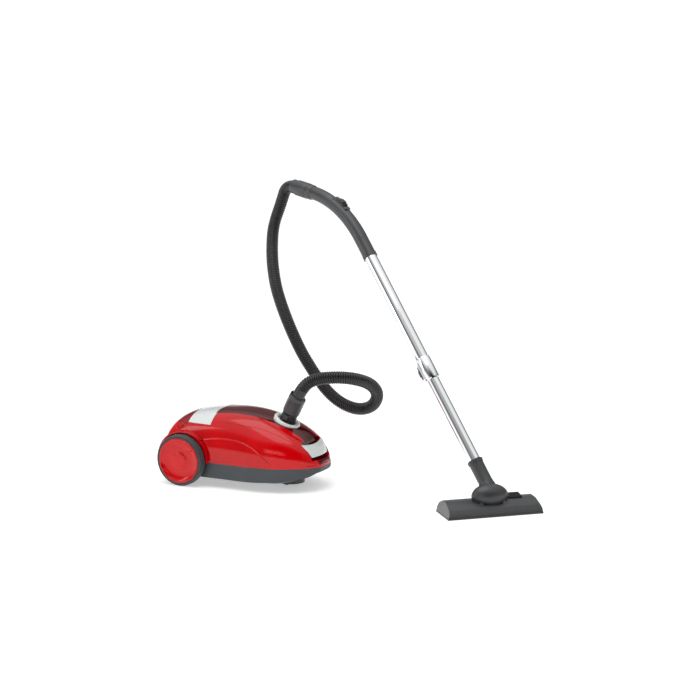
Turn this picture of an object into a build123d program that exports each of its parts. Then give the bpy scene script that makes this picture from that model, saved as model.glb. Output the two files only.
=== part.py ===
from build123d import *
from math import cos, degrees, pi, radians, sin, sqrt, tan
import os

# A canister vacuum cleaner: a two-wheeled body with a bag inside, a corrugated
# hose, a curved handle, a two-piece telescopic tube and a floor nozzle.
#
# Design frame, in millimetres: X runs forward to the nose, Y to the cleaner's
# left, Z up from the floor, and the rear axle crosses Y at X = 0. Everything is
# moved at the end so that the origin lies under the middle of the whole machine.

# ---------------------------------------------------------------- body sizes
HALF_WIDTH = 118.0        # half the width of the body over its side panels
REAR_X = -72.0            # rear face of the body
REAR_ROUND = 42.0         # length over which the rear corners round off
REAR_INSET = 20.0         # how far the rear corners come in
NOSE_START_X = 190.0      # where the sides start to close towards the nose
NOSE_X = 372.0            # tip of the nose
SPLIT_Z = 66.0            # height where the upper shell meets the base tray
KEEL_Z = 16.0             # underside of the base tray
NOSE_RISE_X = 268.0       # where the underside starts to rise to the nose
NOSE_KEEL_Z = 56.0        # underside of the base at the nose
WALL = 2.6                # moulded wall of the casings
SEAM = 0.8                # visible gap round the lid
FIT = 0.3                 # clearance between pieces that move past each other
RUNNING = 0.06            # radial clearance of a shaft in its bore
ROOF = 2.7                # exponent of the roof's section: 2 is an ellipse
HULL = 4.0                # exponent of the base tray's section
ROOF_TOP = 199.0          # highest point of the roof
# (distance from the rear, how far the roof lies below its highest point)
ROOF_LINE = [(0, 57), (20, 33), (47, 18), (82, 8), (132, 2), (202, 0), (262, 8), (312, 23), (357, 41),
             (394, 64), (420, 93), (438, 120)]
CROWN = [(REAR_X + run, ROOF_TOP - drop) for run, drop in ROOF_LINE]

# ---------------------------------------------------------------- lid and panels
PANEL_X0 = -2.0           # rear edge of the pearl band across the top
PANEL_X1 = 71.0           # its front edge, and the rear edge of the lid
PANEL_Z = 164.0           # lower edge of the band
VENT_X0 = -46.0           # rear edge of the exhaust cover behind the band
VENT_Z = 158.0            # lower edge of the exhaust cover
LID_REAR_HALF = 88.0      # half width of the lid at its rear edge
LID_BEND_X = 170.0        # where the lid starts to taper
LID_NOSE_HALF = 58.0      # half width of the lid at the nose
LID_FOOT_Z = 73.0         # lower edge of the lid at the nose
LID_HINGE_X = 73.2        # axis of the lid's hinge, just under the roof
LID_HINGE_Z = 193.0
LID_PIN_R = 1.8
LID_EYE_R = 3.4

# ---------------------------------------------------------------- lid latch
LATCH_HALF = 44.0         # half width of the pearl plate
LATCH_TOP_Z = 132.0       # upper edge of the finger recess
LATCH_FOOT_Z = 84.0       # its lower edge
LATCH_PIN = (294.0, 128.0)  # X and Z of the pin
LATCH_PIN_R = 1.8
POCKET_X = 285.0          # back wall of the finger recess
CATCH_X = 283.6           # front edge of the shelf that the latch's hook goes under

# ---------------------------------------------------------------- buttons and cord outlet
BUTTON_AT = (-27.0, 92.5, 153.0)      # where the left button's axis meets the shell
BUTTON_AXIS = (-0.31, 0.672, 0.672)   # square to the shell there
BUTTON_HALF = 8.5         # half length of the oval cap
BUTTON_RISE = 4.5         # its half width
BUTTON_PROUD = 2.2
BUTTON_DEEP = 15.0
BUTTON_TRAVEL = 2.0
OUTLET_Y = -62.0          # mains cord's outlet in the rear face
OUTLET_Z = 98.0

# ---------------------------------------------------------------- inlet and cuff
INLET_X = 250.0           # centre of the inlet where its axis crosses the lid
INLET_Z = 172.0
INLET_TILT = 26.0         # degrees that the inlet leans forward
RING_R = 37.0             # outside of the white ring
RING_PROUD = 7.0          # top face of the ring above the axis point
RING_DEEP = 20.0          # how far the inlet reaches down into the bag
INLET_BORE_R = 21.5
CUFF_SPIGOT_R = 21.5 - RUNNING
CUFF_R = 22.5             # outside of the hose cuff
CUFF_TOP = 79.0           # top of the cuff above the axis point
CUFF_BORE_R = 15.0
HOSE_SOCKET = 12.0        # how far the hose goes into a socket

# ---------------------------------------------------------------- rear wheels
WHEEL_R = 69.0
TYRE_INNER_R = 60.0
WHEEL_FACE_Y = 146.0      # outer face of a rear wheel
WHEEL_WIDTH = 26.0
AXLE_R = 4.0
ARCH_GAP = 4.0            # air between the tyre and the arch over it
ARCH_LIP = 4.0            # thickness of the arch lip

# ---------------------------------------------------------------- caster
CASTER_X = 262.0          # swivel axis of the front caster
CASTER_R = 17.0
CASTER_WIDTH = 16.0
CASTER_TRAIL = 11.0
POCKET_R = 34.0
POCKET_TOP = 50.0
SWIVEL_PIN_R = 4.0

# ---------------------------------------------------------------- inside the body
BULKHEAD_X0 = 84.0        # wall between the bag and the motor
BULKHEAD_X1 = 90.0
MOTOR_Y = -44.0
MOTOR_Z = 90.0
MOTOR_R = 47.0
MOUNT_R = 52.0            # outside of the rubber rings that hold the motor
REEL_X = 5.0
REEL_Z = 95.0
REEL_R = 54.0
CHAMBER_HALF = 80.0
CHAMBER_X0 = 96.0
CHAMBER_X1 = 274.0

# ---------------------------------------------------------------- hose
HOSE_R = 17.0
HOSE_BORE_R = 14.5
HOSE_LEAD = 44.0          # how far it leaves the handle before it turns down
HOSE_ROUTE = [(297.8, 0, 270), (325, 20, 290), (375, 40, 295), (415, 70, 290), (440, 120, 270),
              (445, 160, 235), (420, 180, 195), (375, 182, 180), (325, 175, 195), (280, 170, 230),
              (240, 165, 285), (205, 165, 335), (160, 175, 410), (110, 205, 490), (73, 250, 553),
              (44, 300, 607), (34, 328, 661), (56, 334, 723)]

# ---------------------------------------------------------------- floor nozzle
NOZZLE_X = 839.0          # point of the floor under the nozzle's tilting drum
NOZZLE_Y = -27.0
NOZZLE_TURN = 42.0        # degrees from X to the nozzle's long axis
NOZZLE_LENGTH = 252.0
NOZZLE_FRONT = -47.0      # front edge, measured from the drum's axis
NOZZLE_BACK = 46.0
NOZZLE_TOP = 35.0
SOLE = 3.0                # thickness of the sole plate
DRUM_Z = 43.0             # height of the drum's axis
DRUM_R = 30.0
DRUM_HALF = 25.0          # half width of the drum between its cheeks
TRUNNION_R = 6.0
OUTLET_LIFT = 45.0        # degrees that the drum's outlet leans up from level
OUTLET_R = 17.5
NECK_REACH = 36.0         # from the drum's axis to the bend of the neck
NECK_R = 18.5
NECK_LENGTH = 65.0
MOUTH_HALF = 108.0        # half length of the suction mouth
BRUSH_FRONT = -35.5       # the two brush strips, measured from the drum's axis
BRUSH_BACK = 31.5
PEDAL_X = 68.0
PEDAL_Y = 10.0
PEDAL_Z = 35.0
PEDAL_HALF = 16.5
PEDAL_ROCK = 16.0         # degrees
ROLLER_R = 6.0
ROLLER_X = 64.0
ROLLER_Y = 19.0
SCREW_X = 92.0
SCREW_YS = (-24.5, 20.0)

# ---------------------------------------------------------------- wand
WAND_LIFT = 50.0          # degrees between the tubes and the floor
WAND_TURN = 156.0         # degrees from X to the plane that the wand stands in
UPPER_R = 17.5            # chrome tubes
LOWER_R = 16.0
TUBE_WALL = 0.9
LOWER_START = 34.0        # distances along the wand from the bend of the neck
LOWER_END = 526.0
COLLAR_START = 309.0
COLLAR_END = 372.0
UPPER_START = 323.0
HANDLE_START = 694.0
UPPER_END = 742.0
COLLAR_R = 20.0
COLLAR_TURN = -123.0      # degrees that the thumb button is turned round the tube

# ---------------------------------------------------------------- handle
GRIP_R = 18.5
GRIP_WALL = 2.2
GRIP_STRAIGHT = 60.0
GRIP_BEND_R = 330.0
SWIVEL_LIFT = 9.0         # degrees that the hose end of the handle leans up
SWIVEL_R = 22.0
SWIVEL_START = 22.0       # distances along the swivel axis from the grip's bend
SWIVEL_END = 92.0
HOSE_END = 82.0
SLIDER_LIFT = 29.0        # slope of the grip under the suction slider, in degrees


# ================================================================ small helpers
def block(x0, x1, y0, y1, z0, z1):
    """A box between two corners."""
    return Pos((x0 + x1) / 2, (y0 + y1) / 2, (z0 + z1) / 2) * Box(x1 - x0, y1 - y0, z1 - z0)


def rod(radius, a, b):
    """A round bar from point a to point b."""
    a, b = Vector(*a), Vector(*b)
    start = Plane(origin=a, z_dir=b - a)
    return extrude(start * Circle(radius), (b - a).length)


def pipe(outer, inner, a, b):
    """A round tube from point a to point b."""
    a, b = Vector(*a), Vector(*b)
    start = Plane(origin=a, z_dir=b - a)
    return extrude(start * (Circle(outer) - Circle(inner)), (b - a).length)


def turned(profile):
    """A body of revolution about Z from its (radius, height) outline."""
    outline = Polyline(*[(r, 0, h) for r, h in profile], close=True)
    return revolve(make_face(outline), axis=Axis.Z)


def prism_y(outline, y0, y1):
    """An (x, z) outline drawn out along Y."""
    face = make_face(Polyline(*[(x, y0, z) for x, z in outline], close=True))
    return extrude(face, y1 - y0, dir=(0, 1, 0))


def prism_z(outline, z0, z1):
    """An (x, y) outline drawn out along Z."""
    face = make_face(Polyline(*[(x, y, z0) for x, y in outline], close=True))
    return extrude(face, z1 - z0, dir=(0, 0, 1))


def axis_place(point, direction):
    """A place whose Z axis is the given direction."""
    return Plane(origin=point, z_dir=direction).location


# ================================================================ the body's form
def half_width(x):
    """Half width of the body at a station."""
    if x > NOSE_START_X:
        share = (x - NOSE_START_X) / (NOSE_X - NOSE_START_X)
        return HALF_WIDTH * sqrt(max(0.0, 1 - share ** 2))
    if x < REAR_X + REAR_ROUND:
        share = (REAR_X + REAR_ROUND - x) / REAR_ROUND
        return HALF_WIDTH - REAR_INSET * (1 - sqrt(max(0.0, 1 - share ** 2)))
    return HALF_WIDTH


def arch_section(x, half, foot, crown, exponent):
    """A closed section across the body: a superellipse standing on the split line."""
    points = []
    for k in range(13):
        turn = pi * k / 12
        side = 1 if cos(turn) >= 0 else -1
        y = half * side * abs(cos(turn)) ** (2 / exponent)
        z = foot + (crown - foot) * abs(sin(turn)) ** (2 / exponent)
        points.append((x, y, z))
    rise = 1 if crown > foot else -1
    arch = Spline(*points, tangents=[(0, 0, rise), (0, 0, -rise)])
    return make_face(arch + Line(points[-1], points[0]))


def roof_form(inset, foot):
    """The body above the split line, moved in by a wall thickness."""
    sections = []
    last = len(CROWN) - 1
    for k, (x, crown) in enumerate(CROWN):
        before, after = CROWN[max(0, k - 1)], CROWN[min(last, k + 1)]
        slope = (after[1] - before[1]) / (after[0] - before[0])
        drop = inset * sqrt(1 + slope ** 2)
        station = x + inset if k == 0 else x - inset * 1.5 if k == last else x
        sections.append(arch_section(station, half_width(x) - inset, foot, crown - drop, ROOF))
    return loft(sections)


def keel(x):
    """Height of the underside at a station."""
    if x <= NOSE_RISE_X:
        return KEEL_Z
    share = (x - NOSE_RISE_X) / (NOSE_X - NOSE_RISE_X)
    return KEEL_Z + (NOSE_KEEL_Z - KEEL_Z) * share ** 1.15


def hull_form(inset, foot):
    """The base tray below the split line, moved in by a wall thickness."""
    sections = []
    last = len(CROWN) - 1
    for k, (x, _) in enumerate(CROWN):
        station = x + inset if k == 0 else x - inset * 1.5 if k == last else x
        sections.append(arch_section(station, half_width(x) - inset, foot, keel(x) + inset, HULL))
    return loft(sections)


def lid_prism(grow):
    """The part of the body, seen from above, that the lid takes up."""
    back, nose = LID_REAR_HALF + grow, LID_NOSE_HALF + grow
    rear = PANEL_X1 - grow
    outline = [(rear, -back), (LID_BEND_X, -back), (NOSE_X + 20, -nose),
               (NOSE_X + 20, nose), (LID_BEND_X, back), (rear, back)]
    return prism_z(outline, LID_FOOT_Z - grow, 260)


# ---------------------------------------------------------------- inlet frame
INLET_AXIS = (sin(radians(INLET_TILT)), 0, cos(radians(INLET_TILT)))
INLET = axis_place((INLET_X, 0, INLET_Z), INLET_AXIS)


def on_inlet(shape):
    """Put a piece drawn about Z onto the inlet's axis."""
    return INLET * shape


# ================================================================ casings
def casings(nodes):
    """Upper shell, pearl band, exhaust cover, lid and base tray."""
    outer = roof_form(0, SPLIT_Z)
    inner = roof_form(WALL, SPLIT_Z - 1)
    band_zone = block(PANEL_X0, PANEL_X1 - SEAM, -140, 140, PANEL_Z, 230)
    vent_zone = block(VENT_X0, PANEL_X0, -140, 140, VENT_Z, 230)
    sweep_room = rod(7.3, (LID_HINGE_X, -140, LID_HINGE_Z), (LID_HINGE_X, 140, LID_HINGE_Z))
    nodes["pearl_band"] = (outer & band_zone) - inner - sweep_room
    nodes["exhaust_cover"] = (outer & vent_zone) - inner - vent_slots()

    upper = outer - lid_prism(SEAM) - band_zone - vent_zone - inner
    for side in (-1, 1):
        upper -= rod(14, (0, side * 90, WHEEL_R), (0, side * 130, WHEEL_R))
        upper -= button_hole(side)
    upper -= outlet_hole()
    upper += [arch_lip(side) for side in (-1, 1)]
    nodes["upper_shell"] = upper

    lid = (outer & lid_prism(0)) - (inner & lid_prism(1))
    lid -= on_inlet(Pos(0, 0, -10) * Cylinder(RING_R, 60))
    lid -= latch_window()
    lid -= rod(LID_EYE_R + 0.4, (LID_HINGE_X, -8, LID_HINGE_Z), (LID_HINGE_X, 8, LID_HINGE_Z))
    lid += (latch_pocket() & outer) + lid_knuckles()
    nodes["lid"] = lid

    nodes["base_tray"] = base_tray()


def vent_slots():
    """Rows of slots in the exhaust cover."""
    slots = []
    for k in range(6):
        slots.append(block(-40 + 6 * k, -37.5 + 6 * k, -62, 62, 150, 230))
    return Compound(children=slots)


def button_place(side):
    """The frame of a button, with Z pointing out of the body."""
    x, y, z = BUTTON_AT
    ax, ay, az = BUTTON_AXIS
    normal = Vector(ax, side * ay, az).normalized()
    along = (Vector(1, 0, 0) - normal * normal.X).normalized()
    return Plane(origin=(x, side * y, z), x_dir=along, z_dir=normal).location


def button_blank(side, grow, low, high):
    """An oval bar along a button's axis."""
    reach = BUTTON_HALF - BUTTON_RISE
    bar = block(-reach, reach, -BUTTON_RISE - grow, BUTTON_RISE + grow, low, high)
    for x in (-reach, reach):
        bar += Pos(x, 0, (low + high) / 2) * Cylinder(BUTTON_RISE + grow, high - low)
    return button_place(side) * bar


def button_hole(side):
    """Opening for the power button (right) or the cord button (left)."""
    return button_blank(side, FIT, -14, 20)


def outlet_hole():
    """Round hole in the rear face for the mains cord's outlet."""
    return rod(9, (REAR_X - 5, OUTLET_Y, OUTLET_Z), (REAR_X + 12, OUTLET_Y, OUTLET_Z))


def arch_lip(side):
    """Half ring over a rear wheel."""
    inner, outer = WHEEL_R + ARCH_GAP, WHEEL_R + ARCH_GAP + ARCH_LIP
    y0, y1 = sorted((side * (HALF_WIDTH - 12), side * (HALF_WIDTH + 8)))
    ring = pipe(outer, inner, (0, y0, WHEEL_R), (0, y1, WHEEL_R))
    ring &= block(-100, 100, y0, y1, SPLIT_Z, 200)
    return ring - roof_form(WALL, SPLIT_Z - 1)


def base_tray():
    """The dark lower tray with the caster pocket and the axle brackets."""
    pocket = rod(POCKET_R + WALL, (CASTER_X, 0, KEEL_Z - 6), (CASTER_X, 0, POCKET_TOP + WALL))
    pocket += rod(10, (CASTER_X, 0, POCKET_TOP), (CASTER_X, 0, POCKET_TOP + 12))
    void = hull_form(WALL, SPLIT_Z + 1) - pocket
    uprights = []
    for side in (-1, 1):
        y0, y1 = sorted((side * 98, side * (HALF_WIDTH - 1)))
        void -= block(-22, 22, y0, y1, KEEL_Z - 5, SPLIT_Z + 1)
        y0, y1 = sorted((side * 98, side * (HALF_WIDTH - WALL - 1)))
        uprights.append(block(-22, 22, y0, y1, SPLIT_Z, WHEEL_R + 12))
        uprights.append(rod(12, (0, side * 98, WHEEL_R), (0, side * (HALF_WIDTH + 0.6), WHEEL_R)))
    tray = hull_form(0, SPLIT_Z) - void
    tray += pocket
    tray += uprights
    tray -= rod(POCKET_R, (CASTER_X, 0, 0), (CASTER_X, 0, POCKET_TOP))
    tray -= rod(SWIVEL_PIN_R + RUNNING, (CASTER_X, 0, 0), (CASTER_X, 0, POCKET_TOP + 20))
    for side in (-1, 1):
        tray -= rod(AXLE_R, (0, side * 90, WHEEL_R), (0, side * 130, WHEEL_R))
    return tray


# ================================================================ lid details
def latch_window():
    """The opening in the lid in front of the latch."""
    return block(300, 400, -LATCH_HALF - 6, LATCH_HALF + 6, LATCH_FOOT_Z, LATCH_TOP_Z)


def latch_pocket():
    """Finger recess behind the latch, open to the front."""
    wall = 2.0
    half = LATCH_HALF + 6
    x, z = LATCH_PIN
    outer = block(POCKET_X, 400, -half - wall, half + wall, LATCH_FOOT_Z - wall, LATCH_TOP_Z + wall)
    inner = block(POCKET_X + wall, 400, -half, half, LATCH_FOOT_Z, LATCH_TOP_Z)
    ears = []
    for side in (-1, 1):
        y0, y1 = sorted((side * (LATCH_HALF + 0.5), side * half))
        ears.append(block(x - 5, x + 5, y0, y1, z - 5, LATCH_TOP_Z))
    pin = rod(LATCH_PIN_R, (x, -half - 5, z), (x, half + 5, z))
    slot = block(POCKET_X - 1, 332, -9, 9, LATCH_FOOT_Z - 5, LATCH_FOOT_Z + 28)
    return (outer - inner) + ears - pin - slot


def lid_knuckles():
    """Two hinge eyes under the rear edge of the lid."""
    x, z = LID_HINGE_X, LID_HINGE_Z
    eyes = []
    for y0, y1 in ((-20, -8), (8, 20)):
        eye = rod(LID_EYE_R, (x, y0, z), (x, y1, z)) + block(x, x + 12, y0, y1, z - 3, z + 3)
        eyes.append(eye - rod(LID_PIN_R + RUNNING, (x, y0 - 1, z), (x, y1 + 1, z)))
    return eyes


def lid_parts(nodes):
    """Inlet ring, gasket, latch, pins and seal."""
    ring = turned([(INLET_BORE_R, -RING_DEEP), (INLET_BORE_R + 3, -RING_DEEP), (INLET_BORE_R + 3, -12),
                   (RING_R, -12), (RING_R, RING_PROUD - 2), (RING_R - 2, RING_PROUD),
                   (INLET_BORE_R + 3.5, RING_PROUD), (INLET_BORE_R, RING_PROUD - 3)])
    nodes["inlet_ring"] = on_inlet(ring)
    gasket = turned([(INLET_BORE_R + 3, -RING_DEEP), (INLET_BORE_R + 8, -RING_DEEP),
                     (INLET_BORE_R + 8, -RING_DEEP + 5), (INLET_BORE_R + 3, -RING_DEEP + 5)])
    nodes["inlet_gasket"] = on_inlet(gasket)

    x, z = LATCH_PIN
    plate = prism_y([(x - 3, z + 2), (x + 4, z + 2), (x + 13, z - 32), (x + 13, z - 35), (x + 9, z - 35),
                     (x + 1, z - 4), (x - 3, z - 4)], -LATCH_HALF, LATCH_HALF)
    toe = CATCH_X + 5.4
    hook = prism_y([(x - 3, z - 1), (x + 3, z - 3), (toe + 5, z - 40), (toe + 5, z - 49), (toe, z - 49),
                    (CATCH_X + 0.7, z - 46), (toe, z - 43), (toe, z - 38)], -7, 7)
    bore = rod(LATCH_PIN_R + RUNNING, (x, -60, z), (x, 60, z))
    nodes["lid_latch"] = plate + hook - bore
    nodes["latch_pin"] = rod(LATCH_PIN_R, (x, -LATCH_HALF - 6, z), (x, LATCH_HALF + 6, z))


# ================================================================ rear wheels
def wheel_parts(nodes):
    """Two hubs with tyres on steel axles."""
    inner_y = WHEEL_FACE_Y - WHEEL_WIDTH
    bore = AXLE_R + RUNNING
    hub = turned([(bore, 0), (14, 0), (14, 9), (TYRE_INNER_R - 4, 12), (TYRE_INNER_R - 4, 2),
                  (TYRE_INNER_R, 2), (TYRE_INNER_R, WHEEL_WIDTH - 2), (TYRE_INNER_R - 3, WHEEL_WIDTH),
                  (TYRE_INNER_R - 7, WHEEL_WIDTH - 3), (34, WHEEL_WIDTH - 9), (20, WHEEL_WIDTH - 7),
                  (12, WHEEL_WIDTH - 6.5), (bore, WHEEL_WIDTH - 6.5)])
    tyre = turned([(TYRE_INNER_R, 2), (WHEEL_R - 2, 2), (WHEEL_R, 5), (WHEEL_R, WHEEL_WIDTH - 5),
                   (WHEEL_R - 2, WHEEL_WIDTH - 2), (TYRE_INNER_R, WHEEL_WIDTH - 2)])
    axles = []
    for name, side in (("right", -1), ("left", 1)):
        place = Pos(0, side * inner_y, WHEEL_R) * Rot(-90 * side, 0, 0)
        nodes["wheel_hub_" + name] = place * hub
        nodes["tyre_" + name] = place * tyre
        end = side * (WHEEL_FACE_Y - 8)
        axles.append(rod(AXLE_R, (0, side * 98, WHEEL_R), (0, end, WHEEL_R)))
    nodes["wheel_axles"] = Compound(children=axles)


# ================================================================ caster
def caster_parts(nodes):
    """A swivelling fork with one small wheel under the nose."""
    trail_x = CASTER_X - CASTER_TRAIL
    half = CASTER_WIDTH / 2
    top = POCKET_TOP - FIT
    plate = Pos(CASTER_X, 0, 0) * turned([(0, top - 4), (26, top - 4), (26, top), (0, top)])
    stem = Pos(CASTER_X, 0, 0) * turned([(0, top), (SWIVEL_PIN_R, top), (SWIVEL_PIN_R, POCKET_TOP + 14),
                                         (0, POCKET_TOP + 14)])
    fork = plate + stem
    for side in (-1, 1):
        y0, y1 = sorted((side * (half + 0.4), side * (half + 3.4)))
        cheek = block(trail_x - 6, CASTER_X + 8, y0, y1, 12, top - 4)
        fork += cheek
    axle_hole = rod(2.0, (trail_x, -20, CASTER_R), (trail_x, 20, CASTER_R))
    nodes["caster_fork"] = fork - axle_hole
    nodes["caster_axle"] = rod(2.0, (trail_x, -half - 3.4, CASTER_R), (trail_x, half + 3.4, CASTER_R))
    wheel = pipe(CASTER_R, 2.0 + RUNNING, (trail_x, -half, CASTER_R), (trail_x, half, CASTER_R))
    nodes["caster_wheel"] = wheel
    clip = Pos(CASTER_X, 0, POCKET_TOP + 12) * turned([(SWIVEL_PIN_R, 0.2), (8, 0.2), (8, 1.6),
                                                       (SWIVEL_PIN_R, 1.6)])
    nodes["caster_clip"] = clip


# ================================================================ inside the body
def buttons_and_switch(nodes):
    """The two side buttons and the switch block."""
    for name, side in (("power_button", -1), ("rewind_button", 1)):
        nodes[name] = button_blank(side, 0, -BUTTON_DEEP, BUTTON_PROUD)
    low = -BUTTON_DEEP - BUTTON_TRAVEL - 0.5
    nodes["power_switch"] = button_place(-1) * block(-8, 8, -5, 5, low - 8, low)


def motor_parts(nodes):
    """Suction motor along X on the right-hand side of the body."""
    def at_motor(shape):
        return Pos(0, MOTOR_Y, MOTOR_Z) * Rot(0, 90, 0) * shape

    can = turned([(16, 68), (MOTOR_R, 68), (MOTOR_R, -42), (4.5, -42), (4.5, -39), (MOTOR_R - 2, -39),
                  (MOTOR_R - 2, 66), (16, 66)])
    nodes["motor_housing"] = at_motor(can)
    rotor = turned([(0, -46), (4.5 - RUNNING, -46), (4.5 - RUNNING, -30), (20, -30), (20, 20), (6, 20),
                    (6, 44), (41, 44), (41, 58), (14, 62), (0, 62)])
    nodes["motor_rotor"] = at_motor(rotor)
    stator = turned([(21, -28), (MOTOR_R - 2, -28), (MOTOR_R - 2, 18), (21, 18)])
    nodes["motor_stator"] = at_motor(stator)
    mounts = [pipe(MOUNT_R, MOTOR_R, (x, MOTOR_Y, MOTOR_Z), (x + 12, MOTOR_Y, MOTOR_Z))
              for x in (54, -41)]
    nodes["motor_mounts"] = Compound(children=mounts)
    cradle = block(-41, 66, MOTOR_Y - 40, MOTOR_Y + 40, 24, 28)
    for x in (54, -41):
        cradle += block(x, x + 12, MOTOR_Y - 40, MOTOR_Y + 40, 28, MOTOR_Z - 10)
    nodes["motor_cradle"] = cradle - rod(MOUNT_R, (-60, MOTOR_Y, MOTOR_Z), (80, MOTOR_Y, MOTOR_Z))


def reel_parts(nodes):
    """Spring cord reel on the left-hand side of the body."""
    profile = [(6 + RUNNING, 28), (REEL_R, 28), (REEL_R, 30.5), (22, 30.5), (22, 75.5), (REEL_R, 75.5),
               (REEL_R, 78), (6 + RUNNING, 78)]
    place = Pos(REEL_X, 0, REEL_Z) * Rot(-90, 0, 0)
    nodes["cord_reel"] = place * turned(profile)
    bracket = block(REEL_X - 34, REEL_X + 34, 82, 85, 26, REEL_Z + 10)
    spindle = rod(6, (REEL_X, 26, REEL_Z), (REEL_X, 82, REEL_Z))
    nodes["reel_bracket"] = bracket + spindle
    nodes["reel_spring_case"] = pipe(30, 6, (REEL_X, 78.6, REEL_Z), (REEL_X, 82, REEL_Z))
    outlet = turned([(3.5, -4), (13, -4), (13, 0), (9, 0), (9, 14), (3.5, 14)])
    nodes["cord_outlet"] = Pos(REAR_X, OUTLET_Y, OUTLET_Z) * Rot(0, 90, 0) * outlet


def chamber_parts(nodes):
    """Bulkhead, bag chamber, filters, bag and its holder."""
    room = roof_form(WALL + 0.4, SPLIT_Z) + hull_form(WALL + 1.4, SPLIT_Z)
    reach = HALF_WIDTH - 8
    sheet = block(BULKHEAD_X0, BULKHEAD_X1, -HALF_WIDTH, HALF_WIDTH, SPLIT_Z, 170)
    sheet += block(BULKHEAD_X0, BULKHEAD_X1, -reach, reach, KEEL_Z + 4, SPLIT_Z)
    bulkhead = room & sheet
    bulkhead -= block(BULKHEAD_X0 - 4, BULKHEAD_X1 + 5, MOTOR_Y - 26, MOTOR_Y + 26,
                      MOTOR_Z - 22, MOTOR_Z + 22)
    x, z = LID_HINGE_X, LID_HINGE_Z
    arm = prism_y([(BULKHEAD_X0, 150), (BULKHEAD_X1, 150), (BULKHEAD_X1, 172), (x + 3, z), (x - 3, z),
                   (x - 3, z - 12), (BULKHEAD_X0, 166)], -7.5, 7.5)
    arm += rod(LID_EYE_R, (x, -7.5, z), (x, 7.5, z))
    nodes["bulkhead"] = bulkhead + arm - rod(LID_PIN_R, (x, -9, z), (x, 9, z))
    nodes["lid_hinge_pin"] = rod(LID_PIN_R, (x, -20, z), (x, 20, z))

    wall = 2.0
    outline = [(CHAMBER_X0, 34), (214, 34), (220, 70), (CHAMBER_X1, 70), (CHAMBER_X1, 112), (252, 126),
               (250, 148), (230, 148), (224, 142), (CHAMBER_X0, 148)]
    inside = [(CHAMBER_X0 + wall, 34 + wall), (212.4, 34 + wall), (218.4, 70 + wall),
              (CHAMBER_X1 - wall, 70 + wall), (CHAMBER_X1 - wall, 200), (CHAMBER_X0 + wall, 200)]
    tub = prism_y(outline, -CHAMBER_HALF, CHAMBER_HALF)
    tub -= prism_y(inside, -CHAMBER_HALF + wall, CHAMBER_HALF - wall)
    tub -= block(BULKHEAD_X1, CHAMBER_X0 + 4, MOTOR_Y - 24, MOTOR_Y + 24, MOTOR_Z - 20, MOTOR_Z + 20)
    shelf = block(CHAMBER_X1, CATCH_X, -12, 12, LATCH_PIN[1] - 42, LATCH_PIN[1] - 38)
    nodes["bag_chamber"] = tub + shelf
    nodes["pre_motor_filter"] = block(BULKHEAD_X1, CHAMBER_X0, MOTOR_Y - 32, MOTOR_Y + 32,
                                      MOTOR_Z - 28, MOTOR_Z + 28)
    nodes["exhaust_filter"] = block(-44, -5, -60, 60, 150, 155)
    bag = prism_y([(102, 40), (208, 40), (214, 78), (268, 78), (268, 102), (226, 126), (102, 136)],
                  -72, 72)
    nodes["dust_bag"] = bag
    holder = turned([(INLET_BORE_R, -24.5), (38, -24.5), (38, -21.5), (INLET_BORE_R, -21.5)])
    reach = CHAMBER_HALF - wall
    bar = block(-7, 7, -reach, reach, -24.5, -21.5) - Cylinder(INLET_BORE_R + 2, 80)
    nodes["bag_holder"] = on_inlet(holder + bar)


# ================================================================ cuff and hose
def cuff_parts(nodes):
    """The hose's swivelling cuff and its release clips."""
    cuff = turned([(CUFF_BORE_R, -14), (CUFF_SPIGOT_R, -14), (CUFF_SPIGOT_R, RING_PROUD + FIT),
                   (CUFF_R - 0.8, RING_PROUD + FIT), (CUFF_R - 0.8, 26), (CUFF_R, 27),
                   (CUFF_R, CUFF_TOP - 1.5), (CUFF_R - 1.5, CUFF_TOP), (HOSE_R + FIT, CUFF_TOP),
                   (HOSE_R + FIT, CUFF_TOP - HOSE_SOCKET), (CUFF_BORE_R, CUFF_TOP - HOSE_SOCKET)])
    pads = []
    for side in (-1, 1):
        y0, y1 = sorted((side * (CUFF_R - 3), side * (CUFF_R + 1.6)))
        pads.append(block(-7, 7, y0, y1, 11, 25))
    nodes["hose_cuff"] = on_inlet(cuff - pads)
    nodes["cuff_clips"] = on_inlet(Compound(children=pads))


def hose_points():
    """Corners of the hose's route, from the cuff to the handle."""
    lean = Vector(*INLET_AXIS)
    root = Vector(INLET_X, 0, INLET_Z)
    start = root + lean * (CUFF_TOP - HOSE_SOCKET + 0.5)
    place, end_dir, bend_end = grip_swivel()
    end = bend_end + end_dir * HOSE_END
    return [start] + [Vector(*p) for p in HOSE_ROUTE] + [end + end_dir * HOSE_LEAD, end]


def hose_part(nodes):
    """The hose as straight runs joined by tangent arcs."""
    points = hose_points()
    radii = []
    for before, corner, after in zip(points, points[1:], points[2:]):
        run_in, run_out = corner - before, after - corner
        turn = radians(run_in.get_angle(run_out))
        radii.append(0.45 * min(run_in.length, run_out.length) / tan(turn / 2))
        print("turn %.0f  runs %.0f %.0f  radius %.0f"
              % (degrees(turn), run_in.length, run_out.length, radii[-1]))
    path = FilletPolyline(*points, radius=radii)
    start = Plane(origin=points[0], z_dir=points[1] - points[0])
    ring = start * (Circle(HOSE_R) - Circle(HOSE_BORE_R))
    hose = sweep(ring, path=path)
    section = pi * (HOSE_R ** 2 - HOSE_BORE_R ** 2)
    print("hose length %.0f  volume ratio %.4f" % (path.length, hose.volume / section / path.length))
    nodes["hose"] = hose


# ================================================================ wand frame
def heading(turn, lift):
    """A direction from its angle in plan and its angle above the floor."""
    a, e = radians(turn), radians(lift)
    return Vector(cos(a) * cos(e), sin(a) * cos(e), sin(e))


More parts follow.
